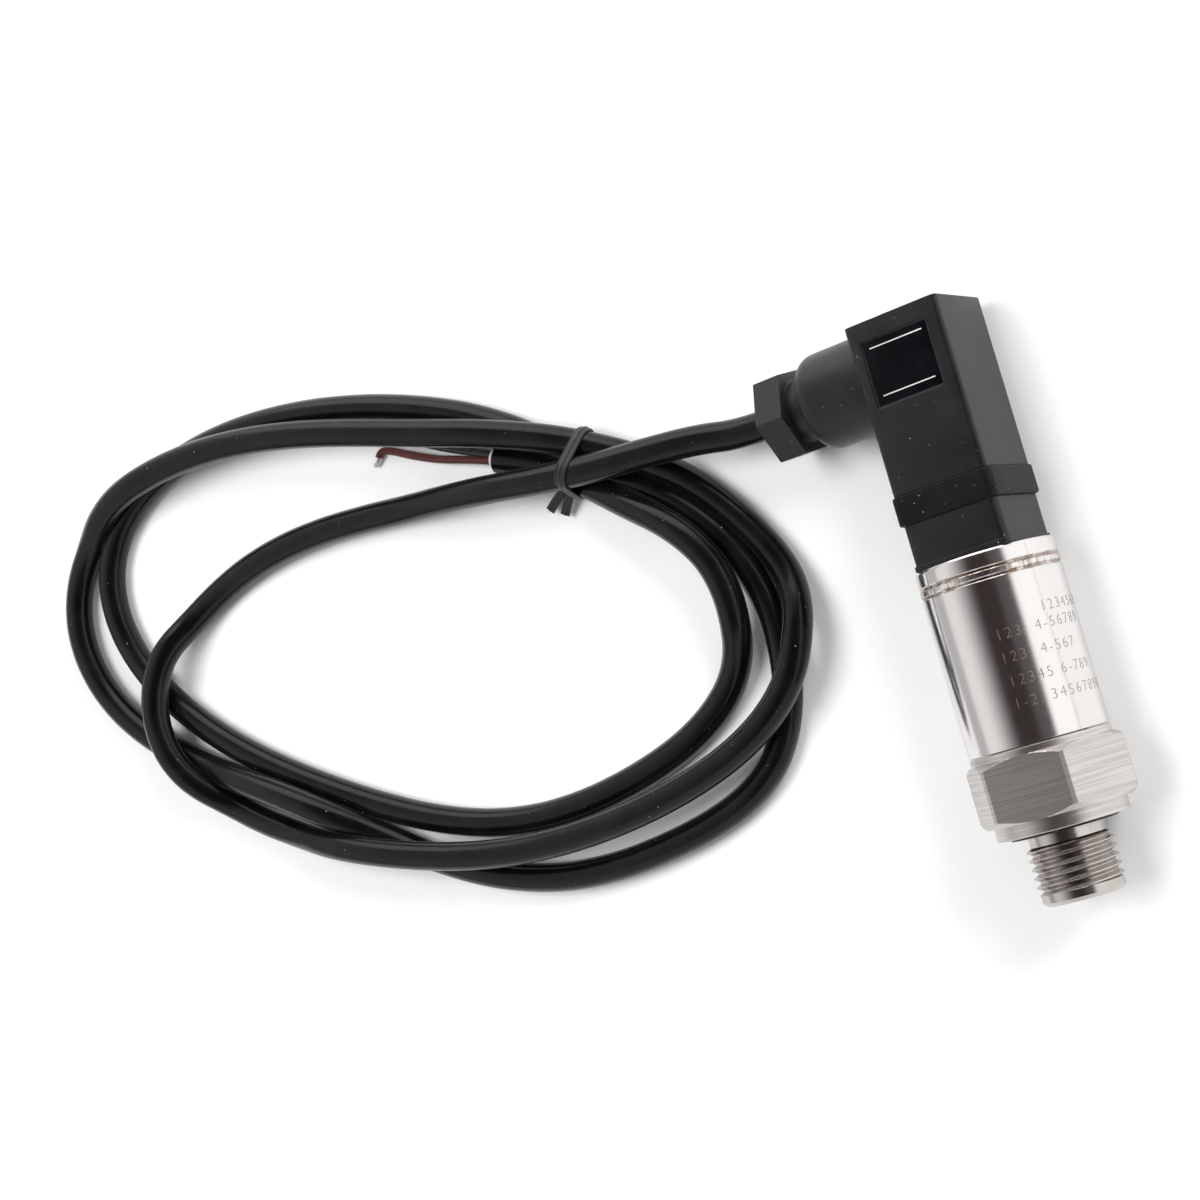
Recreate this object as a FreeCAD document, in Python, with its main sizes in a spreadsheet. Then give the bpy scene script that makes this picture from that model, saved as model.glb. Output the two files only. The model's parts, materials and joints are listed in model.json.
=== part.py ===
import FreeCAD, Part

import math
import os

import Sketcher
from FreeCAD import Placement, Rotation, Vector

# A pressure transmitter that lies on a table: a steel process connection with a G1/4 thread and a
# hexagon, a crimped steel housing tube, a square three-pin connector base, an angled cable plug
# with its gland, and a metre of cable that is wound into three turns and tied.
#
# Every rigid piece is drawn about the transmitter's own axis: Z runs from the thread (below 0) to
# the plug (above 0), and 0 is the sealing face. One placement then lays the whole on the table.

doc = FreeCAD.newDocument("pressure_transmitter")
sheet = doc.addObject("Spreadsheet::Sheet", "Sizes")
sheet.Label = "Sizes"

SIZES = {
    # process connection
    "thread_dia": 13.157, "thread_len": 11.0, "thread_chamfer": 0.9, "neck_dia": 11.6, "neck_len": 2.0,
    "pressure_bore": 4.0, "collar_dia": 20.2, "collar_len": 2.1, "hex_width": 22.0, "hex_turned": 25.0,
    "hex_len": 9.6, "hex_bevel": 0.9, "bevel_in": 1.44, "shoulder_len": 1.2, "spigot_len": 5.0,
    "chamber_dia": 10.0, "chamber_deep": 2.0,
    "seal_groove_dia": 16.9, "seal_groove_depth": 1.2, "seal_proud": 0.4, "seal_inner": 13.4,
    # sensing cell
    "cell_dia": 15.0, "cell_height": 5.6, "cell_rim": 1.4, "cell_floor": 9.0,
    "oring_cord": 1.5, "oring_height": 1.2, "oring_bevel": 0.35, "ring_height": 1.6,
    "cell_pin_dia": 0.6, "cell_pin_circle": 5.08, "cell_pin_end": 0.8,
    # housing tube
    "tube_dia": 21.6, "tube_wall": 1.2, "tube_len": 29.0, "crimp_lip": 1.2, "lip_bore": 16.6,
    "groove_depth": 0.2, "groove_gap": 1.35, "rim_height": 2.7, "rim_bevel": 0.6, "slip": 0.05,
    # electronics
    "board_dia": 18.0, "board_thick": 1.2, "board_rise": 13.1, "lead_dia": 1.0,
    "chip_width": 5.0, "chip_height": 1.4, "chip_off": 4.5,
    "can_dia": 3.2, "can_height": 3.2, "can_off": 2.0, "can_spread": 5.6,
    # connector base
    "base_width": 15.8, "base_height": 7.2, "base_radius": 1.3, "base_foot": 3.0,
    "step_height": 1.5, "step_inset": 0.7,
    "pin_width": 2.8, "pin_thick": 0.8, "pin_circle": 4.0, "pin_rise": 8.4, "pin_stub": 1.0,
    "insert_dia": 4.6, "insert_len": 7.0,
    # profile gasket
    "gasket_lap": 0.45, "gasket_height": 4.5, "gasket_web": 1.5, "gasket_radius": 1.5,
    # plug housing
    "plug_over": 0.2, "plug_height": 26.9, "plug_radius": 1.0, "foot_wall": 1.0, "plug_roof": 3.6,
    "barrel_dia": 15.4, "barrel_reach": 20.0, "barrel_round": 1.8, "gland_drop": 7.9,
    "socket_dia": 10.5, "socket_floor": 8.0, "hole_play": 1.0,
    "label_width": 11.4, "label_height": 10.4, "label_depth": 0.4, "label_radius": 0.9,
    "label_x": -0.3, "label_drop": 8.1,
    # terminal insert
    "block_drop": 11.5, "contact_wide": 4.0, "contact_deep": 2.4, "contact_sunk": 1.0,
    "contact_foot": 1.4, "blade_end": 0.2, "clamp_dia": 2.2, "clamp_height": 1.8,
    # central fixing screw
    "screw_dia": 2.9, "screw_bite": 5.1, "screw_head_dia": 5.4, "screw_head": 1.8, "screw_hole": 3.4,
    "screw_bevel": 0.44, "screw_slot": 0.8, "slot_deep": 0.9,
    "recess_dia": 6.4, "recess_depth": 2.4, "screw_washer": 0.5, "screw_run": 0.1,
    # gland
    "nut_width": 13.0, "nut_head": 4.8, "nut_gap": 2.5, "nut_run": 0.1, "nut_play": 0.3,
    "washer_thick": 1.0, "bush_len": 4.5, "bush_bevel": 0.5, "nut_clear": 0.2784,
    # cable
    "cable_dia": 5.0, "cable_inside": 4.5, "core_dia": 1.4,
    "tie_width": 2.2, "tie_thick": 0.8, "tie_tail": 4.0,
}
# The nut's hexagon stands turned by this many degrees from its zero.
NUT_TURN = -8.0

for row, (alias, number) in enumerate(SIZES.items(), start=1):
    sheet.set(f"A{row}", alias)
    sheet.set(f"B{row}", str(number))
    sheet.setAlias(f"B{row}", alias)
doc.recompute()


class Size:
    """A number together with the sheet expression that it comes from."""

    def __init__(self, value, text):
        self.value = value
        self.text = text

    def join(self, other, sign, result):
        text = other.text if isinstance(other, Size) else repr(float(other))
        return Size(result, f"({self.text} {sign} {text})")

    def __add__(self, other):
        return self.join(other, "+", self.value + number(other))

    def __sub__(self, other):
        return self.join(other, "-", self.value - number(other))

    def __mul__(self, other):
        return self.join(other, "*", self.value * number(other))

    def __truediv__(self, other):
        return self.join(other, "/", self.value / number(other))

    def __neg__(self):
        return self * -1


def number(size):
    return size.value if isinstance(size, Size) else float(size)


def cell(alias):
    return Size(float(sheet.get(alias)), f"Sizes.{alias}")


def const(value):
    return Size(float(value), repr(float(value)))


ZERO = const(0)
# Two places closer than this, in mm, are one.
TOUCH = 1e-4
c = {alias: cell(alias) for alias in SIZES}

# Levels along the axis, each from the piece below it.
hex_foot = c["collar_len"]
hex_top = hex_foot + c["hex_len"]
tube_foot = hex_top + c["shoulder_len"]
tube_top = tube_foot + c["tube_len"]
base_bottom = tube_top - c["crimp_lip"] - c["base_foot"]
base_top = tube_top + c["base_height"]
step_top = base_top + c["step_height"]
web_top = step_top + c["gasket_web"]
plug_foot = base_top + c["gasket_height"]
plug_top = plug_foot + c["plug_height"]
cavity_top = plug_top - c["plug_roof"]
recess_floor = plug_top - c["recess_depth"]
port_top = tube_foot + c["spigot_len"]
board_foot = tube_foot + c["board_rise"]
board_top = board_foot + c["board_thick"]
pin_top = plug_foot + c["pin_rise"]
block_top = plug_top - c["block_drop"]
contact_top = block_top - c["contact_sunk"]
screw_end = base_top - c["screw_bite"]
gland_axis = plug_top - c["gland_drop"]
label_middle = plug_top - c["label_drop"]

# Levels along the cable, counted from the transmitter's axis.
nut_face = c["barrel_reach"] + c["nut_gap"]
nut_end = nut_face + c["nut_head"]
bush_end = c["socket_floor"] + c["bush_len"]
washer_end = bush_end + c["washer_thick"]

# Widths that one piece takes from another: base, gasket, plug and terminal block share one square.
step_width = c["base_width"] - c["step_inset"] * 2
plug_width = c["base_width"] + c["plug_over"]
gasket_width = plug_width + c["gasket_lap"] * 2
cavity_width = step_width - c["foot_wall"] * 2
block_width = cavity_width - c["slip"] * 2
nut_bore = c["cable_dia"] + c["nut_play"]
cable_hole = c["cable_dia"] + c["hole_play"]

NODES = {}


# ---------------------------------------------------------------------------------------------
# Helpers: sketches whose points are bound to the sheet, and the features made from them.

def bind(thing, prop, size):
    setattr(thing, prop, number(size))
    if isinstance(size, Size):
        thing.setExpression(prop, size.text)


def new_body(name):
    body = doc.addObject("PartDesign::Body", name)
    body.Label = name
    NODES[name] = body
    return body


def plane_of(body, role):
    return next(f for f in body.Origin.OriginFeatures if f.Role == role)


def new_sketch(body, role, height=ZERO):
    """A sketch on one of the body's origin planes, lifted along the plane's normal."""
    sketch = body.newObject("Sketcher::SketchObject", f"{body.Name}_sketch")
    sketch.AttachmentSupport = (plane_of(body, role), [""])
    sketch.MapMode = "FlatFace"
    sketch.AttachmentOffset = Placement(Vector(0, 0, number(height)), Rotation())
    if isinstance(height, Size):
        sketch.setExpression("AttachmentOffset.Base.z", height.text)
    return sketch


def pin_point(sketch, line, end, place):
    for kind, size in zip(("DistanceX", "DistanceY"), place):
        index = sketch.addConstraint(Sketcher.Constraint(kind, -1, 1, line, end, number(size)))
        if isinstance(size, Size):
            sketch.setExpression(f"Constraints[{index}]", size.text)


def add_outline(sketch, points):
    """A closed outline of straight lines through points of (Size, Size)."""
    flat = [Vector(number(x), number(y), 0) for x, y in points]
    first = sketch.GeometryCount
    count = len(points)
    for k in range(count):
        sketch.addGeometry(Part.LineSegment(flat[k], flat[(k + 1) % count]), False)
    for k in range(count):
        pair = (first + k, 2, first + (k + 1) % count, 1)
        sketch.addConstraint(Sketcher.Constraint("Coincident", *pair))
        pin_point(sketch, first + k, 1, points[k])


def add_circle(sketch, x, y, diameter):
    round_edge = Part.Circle(Vector(number(x), number(y), 0), Vector(0, 0, 1), number(diameter) / 2)
    index = sketch.addGeometry(round_edge, False)
    pin_point(sketch, index, 3, (x, y))
    size = sketch.addConstraint(Sketcher.Constraint("Diameter", index, number(diameter)))
    sketch.setExpression(f"Constraints[{size}]", diameter.text)


def box_points(width, depth, x=ZERO, y=ZERO):
    a, b = width / 2, depth / 2
    return [(x - a, y - b), (x + a, y - b), (x + a, y + b), (x - a, y + b)]


def hex_points(across, turn=0.0):
    reach = across / (2 * math.cos(math.pi / 6))
    angles = [math.radians(turn + 60 * k) for k in range(6)]
    return [(reach * math.cos(angle), reach * math.sin(angle)) for angle in angles]


def turned(name, points):
    """A turned piece: the half section (radius, height) is revolved about Z."""
    body = new_body(name)
    revolve(body, points)
    return body


def revolve(body, points, kind="Revolution"):
    sketch = new_sketch(body, "XZ_Plane")
    add_outline(sketch, points)
    feature = body.newObject(f"PartDesign::{kind}", f"{body.Name}_{kind}")
    feature.Profile = sketch
    feature.ReferenceAxis = (sketch, ["V_Axis"])
    feature.Angle = 360.0
    doc.recompute()
    return feature


def extrude(body, sketch, length, kind="Pad", reverse=False):
    before = 0.0 if body.Shape.isNull() else body.Shape.Volume
    feature = body.newObject(f"PartDesign::{kind}", f"{body.Name}_{kind}")
    feature.Profile = sketch
    bind(feature, "Length", length)
    feature.Reversed = reverse
    doc.recompute()
    change = feature.Shape.Volume - before
    if (kind == "Pocket" and change >= 0) or (kind == "Pad" and change <= 0):
        raise RuntimeError(f"{feature.Name} changes nothing")
    return feature


def slab(body, points, foot, height, kind="Pad"):
    """Pads, or cuts, an outline from one level upwards."""
    sketch = new_sketch(body, "XY_Plane", foot)
    add_outline(sketch, points)
    return extrude(body, sketch, height, kind, reverse=(kind == "Pocket"))


def drill(body, x, y, diameter, foot, height, kind="Pocket"):
    sketch = new_sketch(body, "XY_Plane", foot)
    add_circle(sketch, x, y, diameter)
    return extrude(body, sketch, height, kind, reverse=(kind == "Pocket"))


def corner_edges(body, width):
    """Names of the straight edges along Z at the corners of a square of this width."""
    reach = number(width) / 2
    names = []
    for k, edge in enumerate(body.Shape.Edges, start=1):
        box = edge.BoundBox
        upright = box.XLength < TOUCH and box.YLength < TOUCH and box.ZLength > TOUCH
        middle = edge.CenterOfMass
        if upright and abs(abs(middle.x) - reach) < TOUCH and abs(abs(middle.y) - reach) < TOUCH:
            names.append(f"Edge{k}")
    return names


def dress(body, names, kind, prop, size):
    """Rounds or bevels the named edges of the body's last feature."""
    last = body.Tip
    feature = body.newObject(f"PartDesign::{kind}", f"{body.Name}_{kind}")
    feature.Base = (last, names)
    bind(feature, prop, size)
    doc.recompute()
    return feature


def solid_node(name, shape):
    """A piece whose form is set directly, for bent tubes and the coil."""
    node = doc.addObject("Part::Feature", name)
    node.Label = name
    node.Shape = shape
    NODES[name] = node
    return node


# ---------------------------------------------------------------------------------------------
# The process connection, its seals and the sensing cell.

def make_pressure_port():
    """One turned and milled piece: thread, undercut, collar, hexagon, shoulder and spigot."""
    thread_r, neck_r, bore_r = c["thread_dia"] / 2, c["neck_dia"] / 2, c["pressure_bore"] / 2
    spigot_r = c["tube_dia"] / 2 - c["tube_wall"] - c["slip"]
    cell_r = c["cell_dia"] / 2 + c["slip"]
    bevel = c["thread_chamfer"]
    turned_r = c["hex_turned"] / 2
    chamber_floor = c["cell_floor"] - c["chamber_deep"]
    body = turned("pressure_port", [
        (bore_r, -c["thread_len"]), (thread_r - bevel, -c["thread_len"]),
        (thread_r, bevel - c["thread_len"]), (thread_r, -c["neck_len"]), (neck_r, -c["neck_len"]),
        (neck_r, c["seal_groove_depth"]), (c["seal_groove_dia"] / 2, c["seal_groove_depth"]),
        (c["seal_groove_dia"] / 2, ZERO), (c["collar_dia"] / 2, ZERO),
        (c["collar_dia"] / 2, hex_foot), (turned_r - c["bevel_in"], hex_foot),
        (turned_r, hex_foot + c["hex_bevel"]), (turned_r, hex_top - c["hex_bevel"]),
        (turned_r - c["bevel_in"], hex_top), (c["tube_dia"] / 2, hex_top),
        (c["tube_dia"] / 2, tube_foot - c["groove_depth"]),
        (c["tube_dia"] / 2 - c["groove_depth"], tube_foot),
        (spigot_r, tube_foot), (spigot_r, port_top), (cell_r, port_top), (cell_r, c["cell_floor"]),
        (c["chamber_dia"] / 2, c["cell_floor"]), (c["chamber_dia"] / 2, chamber_floor),
        (bore_r, chamber_floor),
    ])
    # The hexagon is milled: everything outside the six flats goes, between the hexagon's two faces.
    sketch = new_sketch(body, "XY_Plane", hex_foot)
    add_outline(sketch, hex_points(c["hex_width"]))
    add_circle(sketch, ZERO, ZERO, c["hex_turned"] * 2)
    extrude(body, sketch, c["hex_len"], "Pocket", reverse=True)
    return body


def make_port_seal():
    """The profile ring that seals the collar against the machine."""
    outer, inner = c["seal_groove_dia"] / 2, c["seal_inner"] / 2
    proud = c["seal_proud"]
    turned("port_seal", [
        (inner, -proud / 2), (inner + proud, -proud), (outer - proud, -proud), (outer, ZERO),
        (outer, c["seal_groove_depth"]), (inner, c["seal_groove_depth"]),
    ])


def make_sensing_cell():
    floor = c["cell_floor"] + c["oring_height"]
    rim_r, drum_r = c["cell_dia"] / 2, c["cell_dia"] / 2 - c["cell_rim"]
    top = floor + c["cell_height"]
    turned("sensor_cell", [
        (ZERO, floor), (rim_r, floor), (rim_r, floor + c["cell_rim"]), (drum_r, floor + c["cell_rim"]),
        (drum_r, top), (ZERO, top),
    ])
    rim_top = floor + c["cell_rim"]
    turned("cell_ring", [
        (drum_r + c["slip"], rim_top), (c["cell_dia"] / 2, rim_top),
        (c["cell_dia"] / 2, rim_top + c["ring_height"]), (drum_r + c["slip"], rim_top + c["ring_height"]),
    ])
    # The O-ring lies in the corner under the cell, pressed nearly flat above and below.
    outer, inner = c["cell_dia"] / 2, c["cell_dia"] / 2 - c["oring_cord"]
    bevel, foot = c["oring_bevel"], c["cell_floor"]
    turned("cell_seal", [
        (inner + bevel, foot), (outer - bevel, foot), (outer, foot + bevel), (outer, floor - bevel),
        (outer - bevel, floor), (inner + bevel, floor), (inner, floor - bevel), (inner, foot + bevel),
    ])
    return top


# The housing tube.

def make_housing_tube():
    """The tube is crimped over the connector base: two rolled grooves under a turned-in rim."""
    outer = c["tube_dia"] / 2
    inner = outer - c["tube_wall"]
    depth = c["groove_depth"]
    ring_top = tube_top - c["rim_height"]
    ring_foot = ring_top - c["groove_gap"]
    points = [(inner, tube_foot), (outer - depth, tube_foot), (outer, tube_foot + depth)]
    for level in (ring_foot, ring_top):
        points += [(outer, level - depth), (outer - depth, level), (outer, level + depth)]
    points += [
        (outer, tube_top - c["rim_bevel"]), (outer - c["rim_bevel"], tube_top),
        (c["lip_bore"] / 2, tube_top),
        (c["lip_bore"] / 2, tube_top - c["crimp_lip"]), (inner, tube_top - c["crimp_lip"]),
    ]
    turned("housing_tube", points)


# ---------------------------------------------------------------------------------------------
# The electronics between the cell and the connector base.

def rods(name, places, diameter, foot, top):
    """Equal upright rods as one node of separate solids."""
    parts = []
    for k, (x, y) in enumerate(places, start=1):
        rod = doc.addObject("Part::Cylinder", f"{name}_{k}")
        bind(rod, "Radius", diameter / 2)
        bind(rod, "Height", top - foot)
        place_at(rod, x, y, foot)
        parts.append(rod)
    return group(name, parts)


def place_at(thing, *place):
    """Puts a part's own origin at a place that stays bound to the sheet."""
    thing.Placement = Placement(Vector(*[number(size) for size in place]), Rotation())
    for axis, size in zip("xyz", place):
        if isinstance(size, Size):
            thing.setExpression(f"Placement.Base.{axis}", size.text)


def group(name, parts):
    node = doc.addObject("Part::Compound", name)
    node.Label = name
    node.Links = parts
    NODES[name] = node
    return node


def around(circle_radius, count, start=0.0):
    """Places on a circle, as pairs of sizes."""
    turns = [math.radians(start + 360 / count * k) for k in range(count)]
    return [(circle_radius * math.cos(turn), circle_radius * math.sin(turn)) for turn in turns]


def make_electronics(cell_top):
    pin_places = around(c["cell_pin_circle"] / 2, 3, 90)
    rods("cell_pins", pin_places, c["cell_pin_dia"], cell_top, board_top + c["cell_pin_end"])

    board = new_body("circuit_board")
    drill(board, ZERO, ZERO, c["board_dia"], board_foot, c["board_thick"], "Pad")
    for x, y in pin_places:
        drill(board, x, y, c["cell_pin_dia"], board_foot, c["board_thick"])

    chip = doc.addObject("Part::Box", "signal_chip")
    bind(chip, "Length", c["chip_width"])
    bind(chip, "Width", c["chip_width"])
    bind(chip, "Height", c["chip_height"])
    half = c["chip_width"] / 2
    place_at(chip, -half, -c["chip_off"] - half, board_top)
    parts = [chip]
    for k, side in enumerate((-1, 1)):
        can = doc.addObject("Part::Cylinder", f"filter_can_{k}")
        bind(can, "Radius", c["can_dia"] / 2)
        bind(can, "Height", c["can_height"])
        place_at(can, c["can_spread"] * side, -c["can_off"], board_top)
        parts.append(can)
    group("board_parts", parts)

    lead_places = around(c["pin_circle"], 4)[:3]
    rods("lead_wires", lead_places, c["lead_dia"], board_top, base_bottom - c["pin_stub"])


# The connector base with its pins, and the plug's gasket.

def make_connector_base():
    """A moulded block: a round foot under the crimped lip, a square head that carries the pins."""
    body = new_body("connector_base")
    foot = base_bottom
    inner = c["tube_dia"] - (c["tube_wall"] + c["slip"]) * 2
    drill(body, ZERO, ZERO, inner, foot, c["base_foot"], "Pad")
    drill(body, ZERO, ZERO, c["lip_bore"] - c["slip"] * 2, foot, c["base_foot"] + c["crimp_lip"], "Pad")
    slab(body, box_points(c["base_width"], c["base_width"]), tube_top, c["base_height"])
    dress(body, corner_edges(body, c["base_width"]), "Fillet", "Radius", c["base_radius"])
    slab(body, box_points(step_width, step_width), base_top, c["step_height"])
    for place in pin_boxes(c["pin_width"], c["pin_thick"]):
        slab(body, place, foot, step_top - foot, "Pocket")
    drill(body, ZERO, ZERO, c["insert_dia"], step_top - c["insert_len"], c["insert_len"])


def pin_boxes(width, thick):
    """Outlines at the four contact places: each blade's broad side faces the axis."""
    boxes = []
    for k, (x, y) in enumerate(around(c["pin_circle"], 4)):
        sides = (thick, width) if k % 2 == 0 else (width, thick)
        boxes.append(box_points(*sides, x, y))
    return boxes


def make_contacts():
    pin_foot = base_bottom - c["pin_stub"]
    contact_foot = web_top + c["contact_foot"]
    names = ("1", "2", "3", "earth")
    blades = pin_boxes(c["pin_width"], c["pin_thick"])
    slots = pin_boxes(c["pin_width"] + c["slip"] * 2, c["pin_thick"] + c["slip"] * 2)
    shells = pin_boxes(c["contact_wide"], c["contact_deep"])
    for name, blade, slot, shell in zip(names, blades, slots, shells):
        pin = new_body(f"base_pin_{name}")
        slab(pin, blade, pin_foot, pin_top - pin_foot)
        contact = new_body(f"plug_contact_{name}")
        slab(contact, shell, contact_foot, contact_top - contact_foot)
        slab(contact, slot, contact_foot, pin_top + c["blade_end"] - contact_foot, "Pocket")
    insert = c["insert_dia"] / 2
    bore = c["screw_dia"] / 2 + c["slip"]
    foot = step_top - c["insert_len"]
    turned("screw_insert", [(bore, foot), (insert, foot), (insert, step_top), (bore, step_top)])
    rods("clamp_screws", around(c["pin_circle"], 4), c["clamp_dia"], contact_top,
         contact_top + c["clamp_height"])


def make_profile_gasket():
    """One rubber moulding: a web between base and plug, and a skirt that laps over both."""
    body = new_body("profile_gasket")
    slab(body, box_points(gasket_width, gasket_width), base_top, c["gasket_height"])
    dress(body, corner_edges(body, gasket_width), "Fillet", "Radius", c["gasket_radius"])
    slab(body, box_points(step_width, step_width), base_top, c["step_height"], "Pocket")
    slab(body, box_points(step_width, step_width), web_top, plug_foot - web_top, "Pocket")
    for place in pin_boxes(c["pin_width"], c["pin_thick"]):
        slab(body, place, step_top, c["gasket_web"], "Pocket")
    drill(body, ZERO, ZERO, c["screw_hole"], step_top, c["gasket_web"])


# The plug.

def make_plug_housing():
    """The moulded right-angle shell: square body, round cable barrel, label recess, screw recess."""
    body = new_body("plug_housing")
    slab(body, box_points(plug_width, plug_width), plug_foot, c["plug_height"])
    dress(body, corner_edges(body, plug_width), "Fillet", "Radius", c["plug_radius"])

    sketch = new_sketch(body, "YZ_Plane")
    add_circle(sketch, ZERO, gland_axis, c["barrel_dia"])
    extrude(body, sketch, c["barrel_reach"], reverse=True)
    reach = number(c["barrel_reach"])
    mouth = [f"Edge{k}" for k, edge in enumerate(body.Shape.Edges, start=1)
             if abs(edge.BoundBox.XMax + reach) < TOUCH]
    dress(body, mouth, "Fillet", "Radius", c["barrel_round"])

    slab(body, box_points(step_width, step_width), web_top, plug_foot - web_top)
    slab(body, box_points(cavity_width, cavity_width), web_top, cavity_top - web_top, "Pocket")
    drill(body, ZERO, ZERO, c["screw_hole"], cavity_top, plug_top - cavity_top)
    drill(body, ZERO, ZERO, c["recess_dia"], recess_floor, c["recess_depth"])

    for diameter, depth in ((c["socket_dia"], c["barrel_reach"] - c["socket_floor"]),
                            (cable_hole, c["barrel_reach"] - cavity_width / 2)):
        sketch = new_sketch(body, "YZ_Plane", -c["barrel_reach"])
        add_circle(sketch, ZERO, gland_axis, diameter)
        extrude(body, sketch, depth, "Pocket", reverse=True)

    sketch = new_sketch(body, "XZ_Plane", plug_width / 2)
    add_outline(sketch, box_points(c["label_width"], c["label_height"], c["label_x"], label_middle))
    extrude(body, sketch, c["label_depth"], "Pocket")
    depth = number(c["label_depth"])
    recess = [f"Edge{k}" for k, edge in enumerate(body.Shape.Edges, start=1)
              if abs(edge.BoundBox.YLength - depth) < TOUCH and edge.BoundBox.ZLength < TOUCH
              and edge.BoundBox.XLength < TOUCH]
    dress(body, recess, "Fillet", "Radius", c["label_radius"])


def make_terminal_block():
    """The insert in the plug: pockets for the four contacts and a bore for the fixing screw."""
    body = new_body("terminal_block")
    foot = web_top + c["slip"]
    slab(body, box_points(block_width, block_width), foot, block_top - foot)
    for place in pin_boxes(c["contact_wide"] + c["slip"] * 2, c["contact_deep"] + c["slip"] * 2):
        slab(body, place, foot, block_top - foot, "Pocket")
    drill(body, ZERO, ZERO, c["screw_hole"], foot, block_top - foot)


def make_fixing_screw():
    shank, head = c["screw_dia"] / 2, c["screw_head_dia"] / 2
    seat = recess_floor + c["screw_washer"]
    top = seat + c["screw_head"]
    bevel = c["screw_bevel"]
    body = turned("fixing_screw", [
        (ZERO, screw_end), (shank - bevel, screw_end), (shank, screw_end + bevel), (shank, seat),
        (head, seat), (head, top - bevel), (head - bevel, top), (ZERO, top),
    ])
    slot = box_points(c["screw_head_dia"] * 2, c["screw_slot"])
    slab(body, slot, top - c["slot_deep"], c["slot_deep"], "Pocket")
    bore, rim = shank + c["slip"], c["recess_dia"] / 2 - c["screw_run"]
    turned("screw_washer", [(bore, recess_floor), (rim, recess_floor), (rim, seat), (bore, seat)])


# The gland. These pieces are drawn about their own axis; their Z is the distance from the
# transmitter's axis along the cable.

def make_gland():
    cable_r = c["cable_dia"] / 2
    socket_r = c["socket_dia"] / 2
    bore_r = nut_bore / 2
    bush_r = socket_r - c["slip"]
    bevel = c["bush_bevel"]
    turned("gland_bush", [
        (cable_r, c["socket_floor"]), (bush_r, c["socket_floor"]), (bush_r, bush_end - bevel),
        (bush_r - bevel, bush_end), (cable_r, bush_end),
    ])
    turned("gland_washer", [
        (bore_r, bush_end), (socket_r - c["nut_run"], bush_end),
        (socket_r - c["nut_run"], washer_end), (bore_r, washer_end),
    ])
    corner_r = c["nut_width"] * (0.5 / math.cos(math.pi / 6))
    body = turned("gland_nut", [
        (bore_r, washer_end), (socket_r - c["nut_run"], washer_end), (socket_r - c["nut_run"], nut_face),
        (corner_r, nut_face), (corner_r, nut_end), (bore_r, nut_end),
    ])
    sketch = new_sketch(body, "XY_Plane", nut_face)
    add_outline(sketch, hex_points(c["nut_width"], NUT_TURN))
    add_circle(sketch, ZERO, ZERO, c["nut_width"] * 2)
    extrude(body, sketch, c["nut_head"], "Pocket", reverse=True)
    turned("cable_end", [
        (ZERO, c["cable_inside"]), (cable_r, c["cable_inside"]), (cable_r, nut_end), (ZERO, nut_end),
    ])


# ---------------------------------------------------------------------------------------------
# Places: the transmitter lies on one flat of its hexagon and on the rim of the housing tube.

def axis_height():
    """Height of the axis over the table at 0, and how far it dips towards the plug, in radians."""
    flat, rim = number(c["hex_width"]) / 2, number(c["tube_dia"]) / 2
    if rim >= flat:
        return rim, 0.0
    dip = math.atan2(flat - rim, number(tube_top) - number(hex_top))
    return flat * math.cos(dip) + number(hex_top) * math.sin(dip), dip


def plug_turn():
    """The plug turns on its screw until the gland nut is all but down on the table."""
    height, dip = axis_height()
    over_table = height - number(gland_axis) * math.sin(dip) - number(c["nut_clear"])
    reach, corner = number(nut_end), number(c["nut_width"]) / math.sqrt(3)
    return math.asin(over_table / math.hypot(reach, corner)) - math.atan2(corner, reach)


def lying_placement():
    """Turns the axis from +Z to +Y, lets it down onto its two supports and centres the whole."""
    height, dip = axis_height()
    turn = plug_turn()
    corner = number(c["nut_width"]) / math.sqrt(3)
    left = number(nut_end) * math.cos(turn) + corner * math.sin(turn)
    across = (left - number(c["hex_turned"]) / 2) / 2
    along = -(number(plug_top) - number(c["thread_len"])) / 2 * math.cos(dip)
    return Placement(Vector(across, along, height), Rotation(Vector(1, 0, 0), -90 - math.degrees(dip)))


lying = lying_placement()
turned_by = math.degrees(plug_turn())
print(f"the axis dips by {math.degrees(axis_height()[1]):.4f} degrees, the plug turns by {turned_by:.4f}")
plug_place = lying * Placement(Vector(), Rotation(Vector(0, 0, 1), -turned_by))
gland_turn = Rotation(Vector(0, -1, 0), Vector(0, 0, 1), Vector(-1, 0, 0), "XYZ")
gland_place = plug_place * Placement(Vector(0, 0, number(gland_axis)), gland_turn)
PLUG_NODES = (
    "connector_base", "profile_gasket", "plug_housing", "terminal_block", "fixing_screw",
    "screw_washer", "screw_insert", "clamp_screws", "lead_wires",
)
GLAND_NODES = ("gland_bush", "gland_washer", "gland_nut", "cable_end")


# The cable outside the plug. Its route is in the frame of the whole, in mm.

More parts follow.
